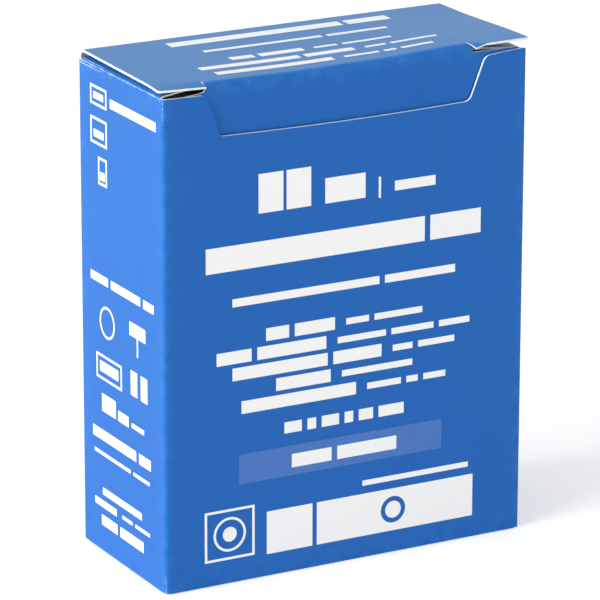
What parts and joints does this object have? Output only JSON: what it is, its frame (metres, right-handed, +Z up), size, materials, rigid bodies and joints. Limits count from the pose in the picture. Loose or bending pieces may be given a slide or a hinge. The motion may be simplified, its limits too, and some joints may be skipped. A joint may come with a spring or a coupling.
{
  "type": "box of microscope slides",
  "caption": "Closed blue folding carton with a hinged tuck-in lid, full of glass microscope slides standing on edge.",
  "frame": {"origin": "middle of the carton's base, on the surface it stands on", "axes": "+X to the right along the front panel, front panel faces -Y, +Z up along the upright slides"},
  "size_m": [0.0636, 0.0286, 0.08],
  "materials": {
    "printed_board": "blue printed, satin varnish, white core at cut edges",
    "white_ink": "white print, satin",
    "tint_ink": "lighter blue print, satin",
    "slide_glass": "clear polished glass, cut edges"
  },
  "bodies": {
    "carton": {"carton_body": "printed_board", "front_print": "white_ink", "front_bar": "tint_ink", "side_print": "white_ink", "slide_01": "slide_glass", "slide_02": "slide_glass", "slide_03": "slide_glass", "slide_04": "slide_glass", "slide_05": "slide_glass", "slide_06": "slide_glass", "slide_07": "slide_glass", "slide_08": "slide_glass", "slide_09": "slide_glass", "slide_10": "slide_glass", "slide_11": "slide_glass", "slide_12": "slide_glass", "slide_13": "slide_glass", "slide_14": "slide_glass", "slide_15": "slide_glass", "slide_16": "slide_glass", "slide_17": "slide_glass", "slide_18": "slide_glass", "slide_19": "slide_glass", "slide_20": "slide_glass", "slide_21": "slide_glass", "slide_22": "slide_glass", "slide_23": "slide_glass", "slide_24": "slide_glass", "slide_25": "slide_glass", "slide_26": "slide_glass", "slide_27": "slide_glass", "slide_28": "slide_glass", "slide_29": "slide_glass", "slide_30": "slide_glass", "slide_31": "slide_glass", "slide_32": "slide_glass", "slide_33": "slide_glass", "slide_34": "slide_glass", "slide_35": "slide_glass", "slide_36": "slide_glass", "slide_37": "slide_glass", "slide_38": "slide_glass", "slide_39": "slide_glass", "slide_40": "slide_glass", "slide_41": "slide_glass", "slide_42": "slide_glass", "slide_43": "slide_glass", "slide_44": "slide_glass", "slide_45": "slide_glass", "slide_46": "slide_glass", "slide_47": "slide_glass", "slide_48": "slide_glass", "slide_49": "slide_glass", "slide_50": "slide_glass"},
    "lid": {"lid": "printed_board", "lid_print": "white_ink"}
  },
  "joints": [
    {"name": "lid_hinge", "type": "hinge", "parent": "carton", "child": "lid", "pos_m": [0, 0.01427, 0.08], "axis": [-1, 0, 0], "range_deg": [0, 175]}
  ]
}
